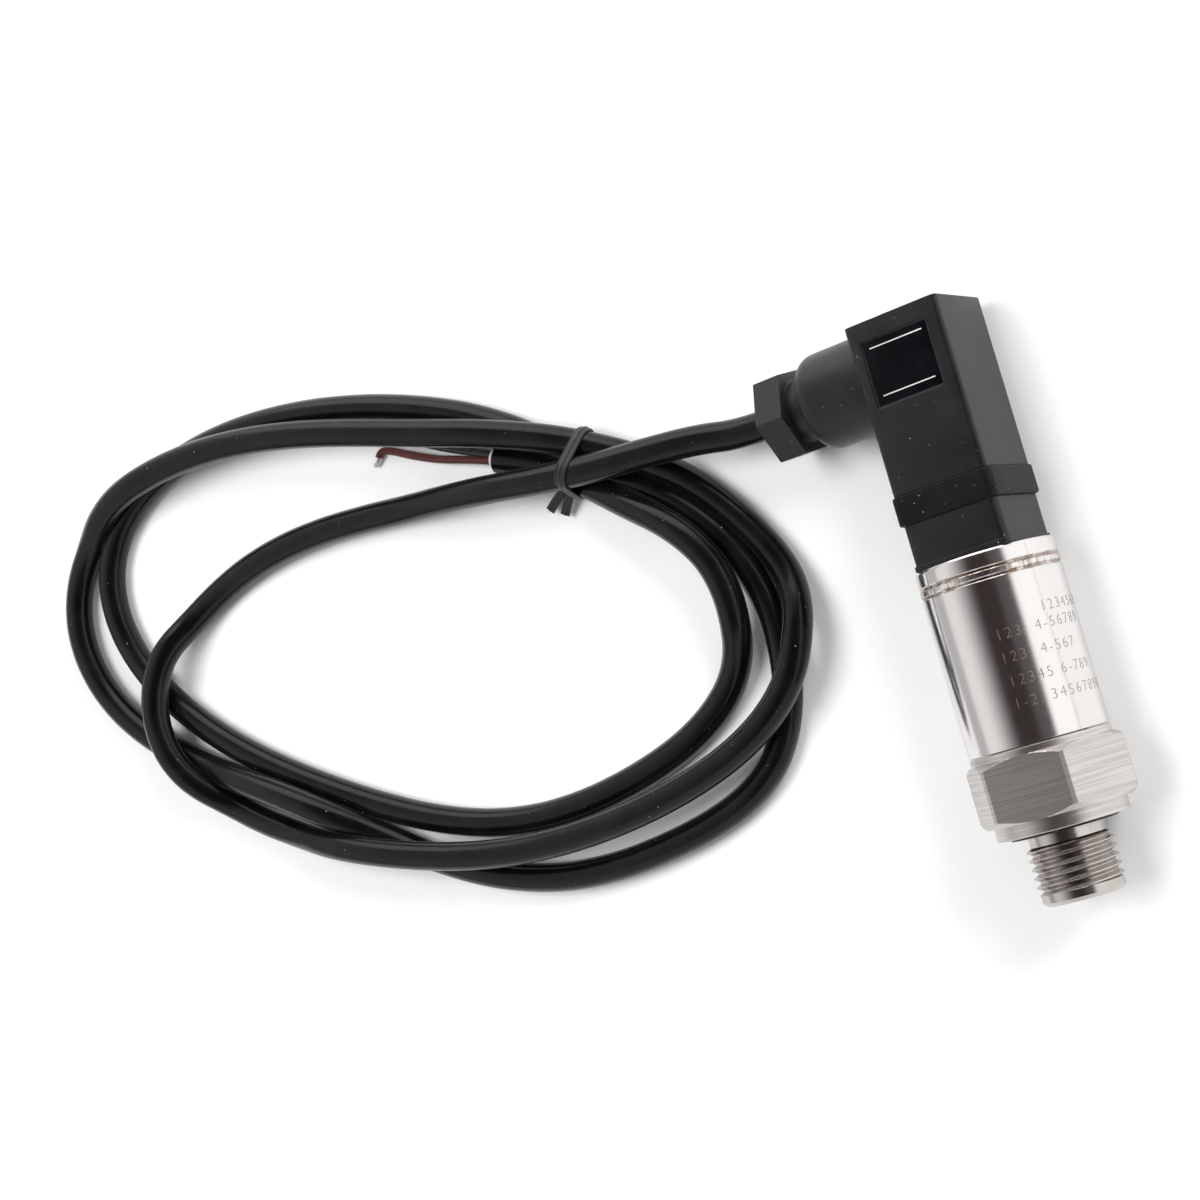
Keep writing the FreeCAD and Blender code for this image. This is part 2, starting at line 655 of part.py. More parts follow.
def round_path(points, label):
    """Straight runs joined by tangent arcs, each as large as its two runs allow."""
    edges = []
    start = points[0]
    for before, corner, after in zip(points, points[1:], points[2:]):
        run_in, run_out = corner - before, after - corner
        half_turn = run_in.getAngle(run_out) / 2
        reach = 0.45 * min(run_in.Length, run_out.Length)
        radius = reach / math.tan(half_turn)
        print(f"{label}: arc radius {radius:.1f} mm")
        unit_in, unit_out = run_in / run_in.Length, run_out / run_out.Length
        first, last = corner - unit_in * reach, corner + unit_out * reach
        inward = (unit_out - unit_in) / (unit_out - unit_in).Length
        middle = corner + inward * (radius / math.cos(half_turn) - radius)
        edges.append(Part.LineSegment(start, first).toShape())
        edges.append(Part.Arc(first, middle, last).toShape())
        start = last
    edges.append(Part.LineSegment(start, points[-1]).toShape())
    return Part.Wire(edges)


def tube_along(path, diameter, label):
    first = path.Edges[0]
    heading = first.tangentAt(first.FirstParameter)
    ring = Part.Circle(first.valueAt(first.FirstParameter), heading, diameter / 2)
    section = Part.Wire([ring.toShape()])
    tube = path.makePipeShell([section], True, True)
    expected = math.pi * diameter ** 2 / 4 * path.Length
    print(f"{label}: length {path.Length:.1f} mm, volume over section x length "
          f"{tube.Volume / expected:.4f}")
    return tube


def ring_outline(points):
    curve = Part.BSplineCurve()
    curve.interpolate([Vector(x, y, 0) for x, y in points], PeriodicFlag=True)
    return Part.Wire([curve.toShape()])


# Reaches of the three turns: the outer edge of the coil, the opening in its middle, and the
# crescent between the first turn and the other two.
COIL_OUTER = [(-55, 49), (-76, 60), (-102, 70), (-132, 74), (-158, 69), (-171, 57), (-173, 40),
              (-162, 17), (-140, -3), (-112, -17), (-84, -25), (-53, -24), (-32, -10), (-25, 10),
              (-35, 33)]
COIL_INNER = [(-61, 38.5), (-80, 42), (-108, 45), (-132, 43), (-148, 35), (-148, 26), (-134, 13),
              (-112, 1), (-84, -8), (-58, -5), (-44, 6), (-42, 22), (-51, 33)]
COIL_GAP = [(-73, 49), (-78, 46.5), (-95, 49.5), (-114, 51), (-132, 49), (-150, 43), (-158, 47),
            (-154, 59), (-138, 65), (-114, 63), (-92, 57.5), (-78, 53)]
# The lead comes down onto the coil; heights are in widths of the cable.
LEAD = [(-41, 40, 1.44), (-52, 43, 1.48)]
# The cut end of the cable lies in the crescent, with its two bare cores beyond it. Their heights
# run from 0, down on the table, to 1, level with the middle of the cable.
TAIL = [(-66, 46), (-76, 49.5)]
RED_CORE = [(-76.5, 48.8, 1), (-84, 51.4, 0.5), (-91, 54.2, 0.05), (-97, 55.6, 0)]
BLACK_CORE = [(-76.0, 50.4, 1), (-83, 53.2, 0.5), (-89, 56, 0.05), (-93, 56.8, 0)]
TIE_MIDDLE = (-58.5, 43.5)
TIE_HEADING = -29.0
TIE_SPAN = 11.2
# Each cut end of the strip: its turn away from straight, and its height over the table.
TIE_ENDS = [(-8.0, 0.9), (8.0, 2.1)]


def tie_band(tall):
    """A flat strip wound round the bundle, with its two cut ends twisted outwards on the inside."""
    width, thick = number(c["tie_width"]), number(c["tie_thick"])
    outer = TIE_SPAN + thick * 2
    band = Part.makeBox(width, outer, tall + thick, Vector(-width / 2, -outer / 2, 0))
    hollow = Part.makeBox(width, TIE_SPAN, tall - thick, Vector(-width / 2, -TIE_SPAN / 2, thick))
    band = band.cut(hollow)
    tail = number(c["tie_tail"])
    for turn, rise in TIE_ENDS:
        strip = Part.makeBox(width, tail, thick, Vector(-width / 2, -outer / 2 - tail, rise))
        strip.rotate(Vector(0, -outer / 2, rise), Vector(0, 0, 1), turn)
        root = Part.makeBox(width, thick, thick, Vector(-width / 2, -outer / 2, rise))
        band = band.fuse([strip, root])
    band = band.removeSplitter()
    band.rotate(Vector(), Vector(0, 0, 1), TIE_HEADING)
    band.translate(Vector(*TIE_MIDDLE, 0))
    return band


def make_cable(exit_point, heading):
    """The lead to the coil, the coil's outer shape, the tail with its two cores, and the tie.

    The coil is two strands high all round, and the tie is cut out of it.
    """
    cable, core = number(c["cable_dia"]), number(c["core_dia"])
    tall = cable * 2

    coil = Part.Face(ring_outline(COIL_OUTER))
    for hole in (COIL_INNER, COIL_GAP):
        coil = coil.cut(Part.Face(ring_outline(hole)))
    coil = coil.extrude(Vector(0, 0, tall))
    if coil.ShapeType != "Solid":
        coil = coil.Solids[0]
    tie = tie_band(tall)
    coil = coil.cut(tie)
    solid_node("cable_tie", tie)

    lead_points = [exit_point, exit_point + heading * cable * 2]
    lead_points += [Vector(x, y, height * cable) for x, y, height in LEAD]
    lead = tube_along(round_path(lead_points, "cable_lead"), cable, "cable_lead")
    solid_node("cable_lead", outside(lead, coil, exit_point))

    ends = [Vector(x, y, cable / 2) for x, y in TAIL]
    tail = tube_along(Part.Wire([Part.LineSegment(*ends).toShape()]), cable, "cable_tail")
    solid_node("cable_tail", outside(tail, coil, ends[-1]))
    solid_node("cable_coil", coil)
    for name, route in (("red_core", RED_CORE), ("black_core", BLACK_CORE)):
        points = [Vector(x, y, (core + (cable - core) * height) / 2) for x, y, height in route]
        solid_node(name, tube_along(round_path(points, name), core, name))


def outside(tube, coil, free_end):
    """The stretch of a tube that is outside the coil, from its free end on."""
    pieces = tube.cut(coil).Solids
    return min(pieces, key=lambda piece: piece.distToShape(Part.Vertex(free_end))[0])


# ---------------------------------------------------------------------------------------------
# Make, place, check and write.

make_pressure_port()
make_port_seal()
cell_top = make_sensing_cell()
make_housing_tube()
make_electronics(cell_top)
make_connector_base()
make_contacts()
make_profile_gasket()
make_plug_housing()
make_terminal_block()
make_fixing_screw()
make_gland()
for name, node in NODES.items():
    in_plug = name in PLUG_NODES or name.startswith(("base_pin_", "plug_contact_"))
    node.Placement = gland_place if name in GLAND_NODES else plug_place if in_plug else lying
doc.recompute()
cable_exit = gland_place.multVec(Vector(0, 0, number(nut_end)))
cable_heading = gland_place.Rotation.multVec(Vector(0, 0, 1))
print("gland axis leaves at", tuple(cable_exit), "heading", tuple(cable_heading))
make_cable(cable_exit, cable_heading)
doc.recompute()

for thing in doc.Objects:
    if {"Invalid", "Error"} & set(thing.State):
        raise RuntimeError(f"{thing.Name} failed: {thing.State}")
for name, node in NODES.items():
    if node.Shape.isNull() or not node.Shape.isValid() or not node.Shape.Solids:
        raise RuntimeError(f"{name} has no valid solid")

os.makedirs("parts", exist_ok=True)
for name, node in NODES.items():
    node.Shape.exportStep(f"parts/{name}.step")
    box = node.Shape.BoundBox
    print(f"{name}: {len(node.Shape.Solids)} solid(s), {node.Shape.Volume:.1f} mm3, "
          f"x {box.XMin:.2f} to {box.XMax:.2f}, y {box.YMin:.2f} to {box.YMax:.2f}, "
          f"z {box.ZMin:.2f} to {box.ZMax:.2f}")
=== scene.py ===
# %% [markdown]
# # A pressure transmitter with its cable plug
#
# The part lies on a table: a steel transmitter with a threaded port and a hexagon, a square
# right-angle plug on its end, and about a metre of black cable, tied into three turns.
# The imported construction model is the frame, and every piece made here takes its place from it.
# What shows is made again with its fine edges, and what is hidden keeps its construction shape.

# %% Start
import json
import math

import bmesh
import bpy
from mathutils import Matrix, Vector


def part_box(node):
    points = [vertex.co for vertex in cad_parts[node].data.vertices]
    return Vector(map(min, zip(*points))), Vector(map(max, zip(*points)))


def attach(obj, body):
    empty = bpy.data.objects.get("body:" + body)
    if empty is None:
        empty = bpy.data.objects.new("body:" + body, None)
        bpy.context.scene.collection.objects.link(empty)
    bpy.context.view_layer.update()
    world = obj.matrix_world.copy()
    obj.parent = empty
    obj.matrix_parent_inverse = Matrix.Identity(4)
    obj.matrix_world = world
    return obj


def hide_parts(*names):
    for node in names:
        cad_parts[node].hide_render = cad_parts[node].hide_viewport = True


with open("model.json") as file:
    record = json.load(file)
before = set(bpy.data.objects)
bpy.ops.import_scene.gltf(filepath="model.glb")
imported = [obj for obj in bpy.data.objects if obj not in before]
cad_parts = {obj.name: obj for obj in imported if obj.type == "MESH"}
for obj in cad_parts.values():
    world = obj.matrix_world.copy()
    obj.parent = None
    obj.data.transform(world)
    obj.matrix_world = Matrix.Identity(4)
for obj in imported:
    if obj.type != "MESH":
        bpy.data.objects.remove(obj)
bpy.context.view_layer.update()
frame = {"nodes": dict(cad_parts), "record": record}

MM = 0.001
FULL_TURN = 2 * math.pi

# %% [markdown]
# ## Camera
#
# The camera looks down on the table from the side away from the coil. A constraint could aim it
# at the part, but then its roll would be left to chance, so its three axes are written as
# vectors: where it looks, what is up in the picture, and what they leave for across.

# %% Camera
EYE = (0.12266, -0.02021, 0.35212)
FOCAL_LENGTH, SENSOR = 71.1, 36
lens = bpy.data.cameras.new("camera")
lens.lens = FOCAL_LENGTH
lens.sensor_width = SENSOR
lens.clip_start = 0.01
camera = bpy.data.objects.new("camera", lens)
bpy.context.scene.collection.objects.link(camera)
bpy.context.scene.camera = camera
toward = Vector((-0.4636, 0.1027, -0.8801)).normalized()
upward = Vector((0.2871, 0.9571, -0.0395))
across = toward.cross(upward).normalized()
upward = across.cross(toward)
axes = Matrix((across, upward, -toward)).transposed().to_4x4()
camera.matrix_world = Matrix.Translation(EYE) @ axes
print("camera", [round(v, 3) for v in camera.location])

# %% [markdown]
# ## Cable
#
# The cable leaves the gland nut, runs to the tie, makes three hand-wound turns and ends cut off
# under the tie. A simulation could drop it on the table, but it would be hard to steer. A
# smooth curve can be laid just so: each turn is an ellipse that swells or draws in at a few
# angles, as stiff cable does, and where one strand crosses another it climbs on top of it in a
# long low hump.

# %% Where the cable runs
CABLE = 5.0
LEAD = [(-19.43, 37.83, 7.74), (-26.4, 37.9, 7.05), (-34, 39.6, 7.2), (-43, 40.4, 7.7), (-52, 40.9, 8.1),
        (-63, 42.2, 7.9)]
TAIL = [(-50.9, 34.4, 5.2), (-56.4, 38.9, 3.2), (-61.4, 42.7, 2.9), (-66.8, 46.3, 2.5), (-73, 49.3, 2.5)]
# The tie is at this angle of every turn.
TIE_ANGLE = 65
# Each turn: its middle and half sizes in mm, its tilt, then (angle, spread, share) of each swell.
TURNS = [
    ((-90.6, 16.0), (64.8, 32.6), -9.6,
     [(95, 23, -0.078), (250, 23, -0.052), (301, 34, -0.048), (429, 28, 0.178), (378, 16, 0.008)]),
    ((-101.7, 23.7), (72.7, 35.5), -21.7,
     [(65, 17, 0.157), (121, 43, 0.075), (252, 24, -0.159), (292, 22, 0.121), (330, 23, 0.059),
      (416, 32, 0.1)]),
    ((-99.4, 30.9), (65.4, 34.5), -22.5,
     [(58, 5, -0.186), (288, 22, 0.084), (395, 13, 0.048), (415, 24, -0.158), (378, 17, 0.027)]),
]
# Height of the strand's middle at angles round each turn: 2.5 lies on the table.
LIFTS = [
    [(65, 7.7), (78, 7.2), (100, 2.5), (146, 2.5), (163, 7.5), (200, 7.5), (216, 2.5), (228, 2.5),
     (247, 7.5), (352, 7.5), (382, 2.5), (405, 2.5), (420, 3.4), (432, 5.4)],
    [(65, 5.4), (82, 7.5), (142, 7.5), (164, 2.5), (232, 2.5), (247, 7.3), (258, 7.3), (272, 2.5),
     (425, 2.5)],
    [(65, 2.5), (350, 2.5), (374, 7.3), (394, 7.3), (416, 2.5), (431, 2.5)],
]
print("turns in the coil", len(TURNS))


# %% Points of the coil
def ease(share):
    """A share from 0 to 1 that starts and ends gently."""
    share = min(max(share, 0), 1)
    return share * share * (3 - 2 * share)


def on_turn(number, angle):
    """Where turn number is at that angle, seen from above."""
    (x, y), (long, short), tilt, swells = TURNS[number]
    swell = 1 + sum(size * math.exp(-((angle - at) / spread) ** 2) for at, spread, size in swells)
    turned = math.radians(angle)
    flat = Vector((long * swell * math.cos(turned), short * swell * math.sin(turned)))
    flat.rotate(Matrix.Rotation(math.radians(tilt), 2))
    return Vector((x, y)) + flat


def lift(number, angle):
    """Height of the strand at that angle of the turn."""
    steps = LIFTS[number]
    for (start, low), (end, high) in zip(steps, steps[1:]):
        if angle <= end:
            return low + (high - low) * ease((angle - start) / (end - start))
    return steps[-1][1]


def on_coil(wound, blend=16):
    """A point of the coil after so many degrees. One turn runs into the next near the tie."""
    number = int(wound // 360)
    angle = TIE_ANGLE + wound - 360 * number
    place = on_turn(number, angle)
    if angle > TIE_ANGLE + 360 - blend and number < 2:
        share = ease(0.5 + (angle - TIE_ANGLE - 360) / (2 * blend))
        place = place.lerp(on_turn(number + 1, angle - 360), share)
    if angle < TIE_ANGLE + blend and number > 0:
        share = ease(0.5 + (angle - TIE_ANGLE) / (2 * blend))
        place = on_turn(number - 1, angle + 360).lerp(place, share)
    return (place.x, place.y, lift(number, angle))


# The coil takes over where the lead has passed the tie, and stops short of the tail.
COIL = range(14, 1050, 9)
route = LEAD + [on_coil(wound) for wound in COIL] + TAIL
print("cable points", len(route))


# %% Cable
def wire(name, points, diameter, around=6, along=10):
    """A round wire along a smooth line through the reach of points in mm."""
    line = bpy.data.curves.new(name, "CURVE")
    line.dimensions = "3D"
    run = line.splines.new("NURBS")
    run.points.add(len(points) - 1)
    for point, place in zip(run.points, points):
        point.co = (*(value * MM for value in place), 1)
    run.order_u = 3
    run.use_endpoint_u = True
    run.resolution_u = along
    line.bevel_depth = diameter / 2 * MM
    line.bevel_resolution = around
    line.use_fill_caps = True
    piece = bpy.data.objects.new(name, line)
    bpy.context.scene.collection.objects.link(piece)
    return piece


cable = wire("cable", route, CABLE, around=8, along=8)

# %% [markdown]
# ## Shader sums
#
# A finish is easier to read as sums than as boxes and wires. One small class wraps the output
# of a node, so that outputs can be added, multiplied and compared like numbers. A second one
# holds a material and makes any other node that it needs.

# %% Shader sums
class Value:
    """One output of a shader node."""

    def __init__(self, finish, socket):
        self.finish = finish
        self.socket = socket

    def _sum(self, kind, first, second=0.0):
        return self.finish.node("ShaderNodeMath", {"operation": kind}, {0: first, 1: second})

    def __add__(self, other):
        return self._sum("ADD", self, other)

    def __sub__(self, other):
        return self._sum("SUBTRACT", self, other)

    def __rsub__(self, other):
        return self._sum("SUBTRACT", other, self)

    def __mul__(self, other):
        return self._sum("MULTIPLY", self, other)

    def __gt__(self, other):
        return self._sum("GREATER_THAN", self, other)

    def __lt__(self, other):
        return self._sum("LESS_THAN", self, other)

    __radd__ = __add__
    __rmul__ = __mul__

    def size(self):
        return self._sum("ABSOLUTE", self)

    def ramp(self, low, high):
        """0 below low and 1 above high, with a gentle rise between them."""
        inputs = {"Value": self, "From Min": low, "From Max": high, "To Min": 0.0, "To Max": 1.0}
        return self.finish.node("ShaderNodeMapRange", {"interpolation_type": "SMOOTHSTEP"}, inputs)


# %% Finishes in general
class Finish:
    """A material made of one main shader, with constants set on it and varying inputs wired in."""

    def __init__(self, name, **constants):
        self.material = bpy.data.materials.new(name)
        self.material.use_nodes = True
        self.tree = self.material.node_tree
        self.shader = self.tree.nodes["Principled BSDF"]
        for key, value in constants.items():
            self.shader.inputs[key.replace("_", " ").title().replace("Ior", "IOR")].default_value = value
        self.place = self.node("ShaderNodeTexCoord", {}, {}, "Object")

    def node(self, kind, settings, inputs, output=0):
        made = self.tree.nodes.new(kind)
        for key, value in settings.items():
            setattr(made, key, value)
        for key, value in inputs.items():
            if isinstance(value, Value):
                self.tree.links.new(value.socket, made.inputs[key])
            else:
                made.inputs[key].default_value = value
        return Value(self, made.outputs[output])

    def wire(self, **inputs):
        for key, value in inputs.items():
            self.tree.links.new(value.socket, self.shader.inputs[key.replace("_", " ").title()])

    def stretched(self, x, y, z):
        """Coordinates multiplied by three numbers."""
        return self.node("ShaderNodeVectorMath", {"operation": "MULTIPLY"}, {0: self.place, 1: (x, y, z)})

    def noise(self, scale, detail=3.0, where=None):
        inputs = {"Vector": where or self.place, "Scale": scale, "Detail": detail}
        return self.node("ShaderNodeTexNoise", {}, inputs, "Fac")

    def cells(self, scale, output):
        return self.node("ShaderNodeTexVoronoi", {}, {"Vector": self.place, "Scale": scale}, output)

    def specks(self, scale, reach, share):
        """Small dots scattered over the surface, one for each cell that is picked."""
        picked = self.node("ShaderNodeSeparateColor", {}, {0: self.cells(scale, "Color")}) < share
        return (self.cells(scale, "Distance") < reach) * picked

    def mix(self, share, first, second):
        """Colour first where share is 0, second where it is 1."""
        return self.node("ShaderNodeMix", {"data_type": "RGBA"}, {0: share, 6: first, 7: second}, 2)

    def bump(self, height, strength, distance):
        inputs = {"Height": height, "Strength": strength, "Distance": distance}
        return self.node("ShaderNodeBump", {}, inputs)

    def axis(self, name):
        return self.node("ShaderNodeSeparateXYZ", {}, {0: self.place}, name)


def grey(level):
    return (level, level, level, 1)


print("shader sums ready")

# %% [markdown]
# ## Placing
#
# The transmitter rests on its hexagon and on the rim of its tube, so it lies a third of a degree
# off level. Pieces could be drawn lying down, but they are easier to draw upright, with zero at
# the sealing face, and then laid down by one matrix. The plug has a second one, as it is
# turned a little on the base, and what sits on the gland's axis has a third.

# %% Placing
HEX_FLATS = 22.0
HEX_TOP = 11.7
TUBE_FOOT, TUBE_TOP = 12.9, 41.9
TUBE_R = 10.8
PLUG_TURN = -6
GLAND_LEVEL = 72.6
flat = HEX_FLATS / 2
low, high = (Vector(corner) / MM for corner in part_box("housing_tube"))
dip = math.atan2(flat - TUBE_R, TUBE_TOP - HEX_TOP)
axis_height = flat * math.cos(dip) + HEX_TOP * math.sin(dip)
along = (low.y + high.y) / 2 - (TUBE_FOOT + TUBE_TOP) / 2 * math.cos(dip)
LYING = Matrix.Scale(MM, 4) @ Matrix.Translation(((low.x + high.x) / 2, along, axis_height))
LYING = LYING @ Matrix.Rotation(-math.pi / 2 - dip, 4, "X")
PLUG = LYING @ Matrix.Rotation(math.radians(PLUG_TURN), 4, "Z")
GLAND = PLUG @ Matrix.Translation((0, 0, GLAND_LEVEL)) @ Matrix(
    ((0, 0, -1, 0), (-1, 0, 0, 0), (0, 1, 0, 0), (0, 0, 0, 1)))
print("axis stands", round(axis_height, 3), "mm high")


# %% Keeping a piece
def keep(mesh, name, place, finish, body, *nodes, smooth=28):
    """A finished piece from a bmesh: placed, smoothed, painted and riding on its body."""
    bmesh.ops.remove_doubles(mesh, verts=mesh.verts, dist=1e-5)
    bmesh.ops.recalc_face_normals(mesh, faces=mesh.faces)
    data = bpy.data.meshes.new(name)
    mesh.to_mesh(data)
    mesh.free()
    data.transform(place)
    for face in data.polygons:
        face.use_smooth = True
    data.set_sharp_from_angle(angle=math.radians(smooth))
    piece = bpy.data.objects.new(name, data)
    bpy.context.scene.collection.objects.link(piece)
    data.materials.append(finish.material)
    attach(piece, body)
    if nodes:
        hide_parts(*nodes)
    print(name, len(data.polygons), "faces")
    return piece


def loose(mesh, name):
    """A bmesh as an object that stands in the room or helps to make others."""
    data = bpy.data.meshes.new(name)
    mesh.to_mesh(data)
    mesh.free()
    helper = bpy.data.objects.new(name, data)
    bpy.context.scene.collection.objects.link(helper)
    return helper


# %% [markdown]
# ## Steel finishes
#
# The port and the hexagon are plain milled steel, and the tube is polished. One colour would
# look like grey paint, because steel shows mostly by how its roughness changes. So noise that
# is drawn out round the axis makes tool marks, and a finer one makes scratches. The rolled
# grooves of the tube hold a brown tint, and a few specks lie on it.

# %% Steel finishes
def steel(name, colour, rough, marks):
    """Machined stainless steel. marks is how much the tool marks across the axis show."""
    made = Finish(name, metallic=1.0)
    lines = made.noise(1.0, 2, made.stretched(50, 2600, 50))
    scratches = made.noise(1.0, 3, made.stretched(700, 2500, 1800))
    share = lines.ramp(0.35, 0.65) * marks
    darker = tuple(v * 0.72 for v in colour[:3]) + (1,)
    made.wire(
        base_color=made.mix(share, colour, darker),
        roughness=scratches * 0.12 + (lines * 0.1 + (rough - 0.1)),
        normal=made.bump(lines + scratches * 0.3, marks, 0.00006),
    )
    return made


port_steel = steel("milled_steel", (0.62, 0.58, 0.555, 1), 0.36, 0.7)
thread_steel = steel("thread_steel", (0.50, 0.465, 0.44, 1), 0.2, 0.15)
plain_steel = steel("plain_steel", (0.6, 0.6, 0.6, 1), 0.35, 0.1)
mark_steel = steel("marked_steel", (0.45, 0.37, 0.31, 1), 0.5, 0.1)
brass = steel("brass", (0.75, 0.55, 0.26, 1), 0.3, 0.05)
print("machined steel ready")

# %% Polished tube
GROOVES = (37.85, 39.2)
POLISHED, SPECK, TINT = (0.70, 0.68, 0.67, 1), (0.95, 0.93, 0.9, 1), (0.30, 0.22, 0.17, 1)
tube_steel = Finish("tube_steel", metallic=1.0)
fine = tube_steel.noise(1.0, 2, tube_steel.stretched(500, 5000, 500))
level = tube_steel.axis("Y")
lines = [(along + groove) * MM for groove in GROOVES]
near = sum((level - line).size() < 0.00035 for line in lines)
between = (level > lines[0]) * (level < lines[1])
mottled = tube_steel.noise(1.0, 3, tube_steel.stretched(1500, 700, 1500)).ramp(0.45, 0.6)
tint = near * tube_steel.noise(700).ramp(0.3, 0.6) * 0.75 + between * mottled * 0.55
spots = tube_steel.specks(1500, 0.07, 0.05)
tube_steel.wire(
    base_color=tube_steel.mix(tint, tube_steel.mix(spots * 0.7, POLISHED, SPECK), TINT),
    roughness=fine * 0.08 + (tube_steel.noise(400) * 0.1 + 0.07) + spots * 0.4 + between * mottled * 0.2,
    normal=tube_steel.bump(fine, 0.08, 0.00002),
)
print("polished tube ready")


# %% [markdown]
# ## Plastic and rubber finishes
#
# Plug, base, gasket and cable are all black, and differ by their gloss, their grain and the
# dust on them. A slow noise lets each one be a little paler and duller in places, and specks
# of two sizes are the dust.

# %% Plastic and rubber finishes
def plastic(name, colour, rough, grain, dust, shine=0.5):
    """Moulded plastic with a fine grain, uneven sheen and a little dust."""
    made = Finish(name, specular_ior_level=shine, sheen_weight=0.25 * shine, sheen_roughness=0.35)
    cloud = made.noise(160)
    fine = made.noise(4500, 2)
    dots = made.specks(900, 0.085, dust) + made.specks(2100, 0.12, dust * 0.7)
    lighter = tuple(value * 1.5 + 0.0015 for value in colour[:3]) + (1,)
    made.wire(
        base_color=made.mix(dots, made.mix(cloud.ramp(0.35, 0.75), colour, lighter), grey(0.26)),
        roughness=cloud * 0.14 + (fine * 0.08 + (rough - 0.1)) + dots * 0.3,
        normal=made.bump(fine + dots, grain, 0.00003),
    )
    return made


plug_plastic = plastic("plug_plastic", (0.0032, 0.0032, 0.0048, 1), 0.42, 0.3, 0.06, shine=0.42)
nut_plastic = plastic("nut_plastic", (0.0050, 0.0050, 0.0065, 1), 0.42, 0.9, 0.04, shine=0.42)
base_plastic = plastic("base_plastic", (0.0030, 0.0030, 0.0042, 1), 0.42, 0.2, 0.08, shine=0.38)
rubber = plastic("gasket_rubber", (0.0020, 0.0020, 0.0026, 1), 0.5, 0.3, 0.22, shine=0.2)
jacket = plastic("cable_jacket", (0.0022, 0.0022, 0.0030, 1), 0.2, 0.04, 0.02, shine=0.24)
tie_plastic = plastic("tie_plastic", (0.008, 0.008, 0.009, 1), 0.42, 0.2, 0.0)
red_core = plastic("red_core", (0.065, 0.009, 0.009, 1), 0.42, 0.1, 0.0)
dark_core = plastic("dark_core", (0.012, 0.012, 0.012, 1), 0.4, 0.1, 0.0)
filler = plastic("core_filler", (0.45, 0.44, 0.4, 1), 0.7, 0.5, 0.0)
label_gloss = plastic("label_gloss", (0.0016, 0.0016, 0.0026, 1), 0.2, 0.0, 0.0, shine=0.06)
label_line = plastic("label_line", (0.42, 0.42, 0.41, 1), 0.5, 0.1, 0.0)
board_green = plastic("board_green", (0.01, 0.09, 0.03, 1), 0.4, 0.1, 0.0)
cable.data.materials.append(jacket.material)
print("plastic finishes ready")


# %% [markdown]
# ## Port and hexagon
#
# One bar of steel: a G1/4 thread with its undercut, a collar, and a milled hexagon whose corners
# the lathe has turned off. The thread could be a bump in the finish, but its crests show against
# the table, so it is a real ridge. Blender's spin operator turns a profile evenly and no more.
# Here the rings of the bar are laid one by one, so that each point can be pulled in by how
# far it stands from the thread's crest, which climbs one pitch a turn. The flats of the
# hexagon are made in the same way, with finer steps near their corners.

# %% Turned shapes
def every(start, end, count):
    """count even steps from start to end, both included."""
    return [start + (end - start) * step / count for step in range(count + 1)]


def lathe(rows, limit=None, angles=None, closed=False):
    """A turned solid from (radius, height) rows; limit(angle, height) may pull its surface in."""
    mesh = bmesh.new()
    angles = angles or every(0, FULL_TURN, 144)[:-1]
    rings = []
    for radius, height in rows:
        if radius == 0:
            rings.append([mesh.verts.new((0, 0, height))])
            continue
        ring = []
        for angle in angles:
            reach = min(radius, limit(angle, height)) if limit else radius
            ring.append(mesh.verts.new((reach * math.cos(angle), reach * math.sin(angle), height)))
        rings.append(ring)
    pairs = list(zip(rings, rings[1:])) + ([(rings[-1], rings[0])] if closed else [])
    for lower, upper in pairs:
        for step in range(len(angles)):
            after = (step + 1) % len(angles)
            if len(lower) == 1:
                mesh.faces.new((lower[0], upper[step], upper[after]))
            elif len(upper) == 1:
                mesh.faces.new((lower[step], lower[after], upper[0]))
            else:
                mesh.faces.new((lower[step], lower[after], upper[after], upper[step]))
    return mesh


print("lathe ready")

# %% Thread
THREAD_R, PITCH, RIDGE = 6.5785, 1.337, 0.86
THREAD_END, NECK, NECK_R = -11.0, -2.0, 5.8
# The end of the thread is a plain ring, a little under the crests.
RING, RING_R = -9.2, 6.3
BORE_R, BORE_END = 2.0, -3.0


def ridge(angle, height):
    """How far the bar reaches on its thread."""
    if height < RING:
        return RING_R
    turned = (height / PITCH - angle / FULL_TURN) % 1
    slope = abs(turned - 0.5) * 2
    return THREAD_R - RIDGE * min(max((slope - 0.12) / 0.8, 0), 1)


rows = [(0, BORE_END), (BORE_R, BORE_END), (BORE_R, THREAD_END + 0.2), (BORE_R + 0.2, THREAD_END),
        (5.5, THREAD_END), (5.7, THREAD_END + 0.05)]
rows += [(min(THREAD_R, 5.78 + (height - THREAD_END - 0.1)), height)
         for height in every(THREAD_END + 0.1, NECK - 0.3, 190)]
rows += [(NECK_R, NECK), (NECK_R, 1.2), (0, 1.2)]
threaded = lathe(rows, ridge, every(0, FULL_TURN, 160)[:-1])
thread = keep(threaded, "port_thread", LYING, thread_steel, "transmitter", smooth=50)


# %% Flats
def hexagon(across_flats):
    """The limit of six flats, two of them square to Y."""
    def limit(angle, height):
        off = (math.degrees(angle) % 60) - 30
        return across_flats / 2 / math.cos(math.radians(off))
    return limit


def hexagon_angles(facet):
    """Angles for a lathe with six flats: fine near the corners, where a facet may be turned."""
    steps = [0, facet, facet + 1, *range(4, 57, 2), 59 - facet, 60 - facet]
    return [math.radians(side * 60 + step) for side in range(6) for step in steps]


print("steps round a hexagon", len(hexagon_angles(1)))

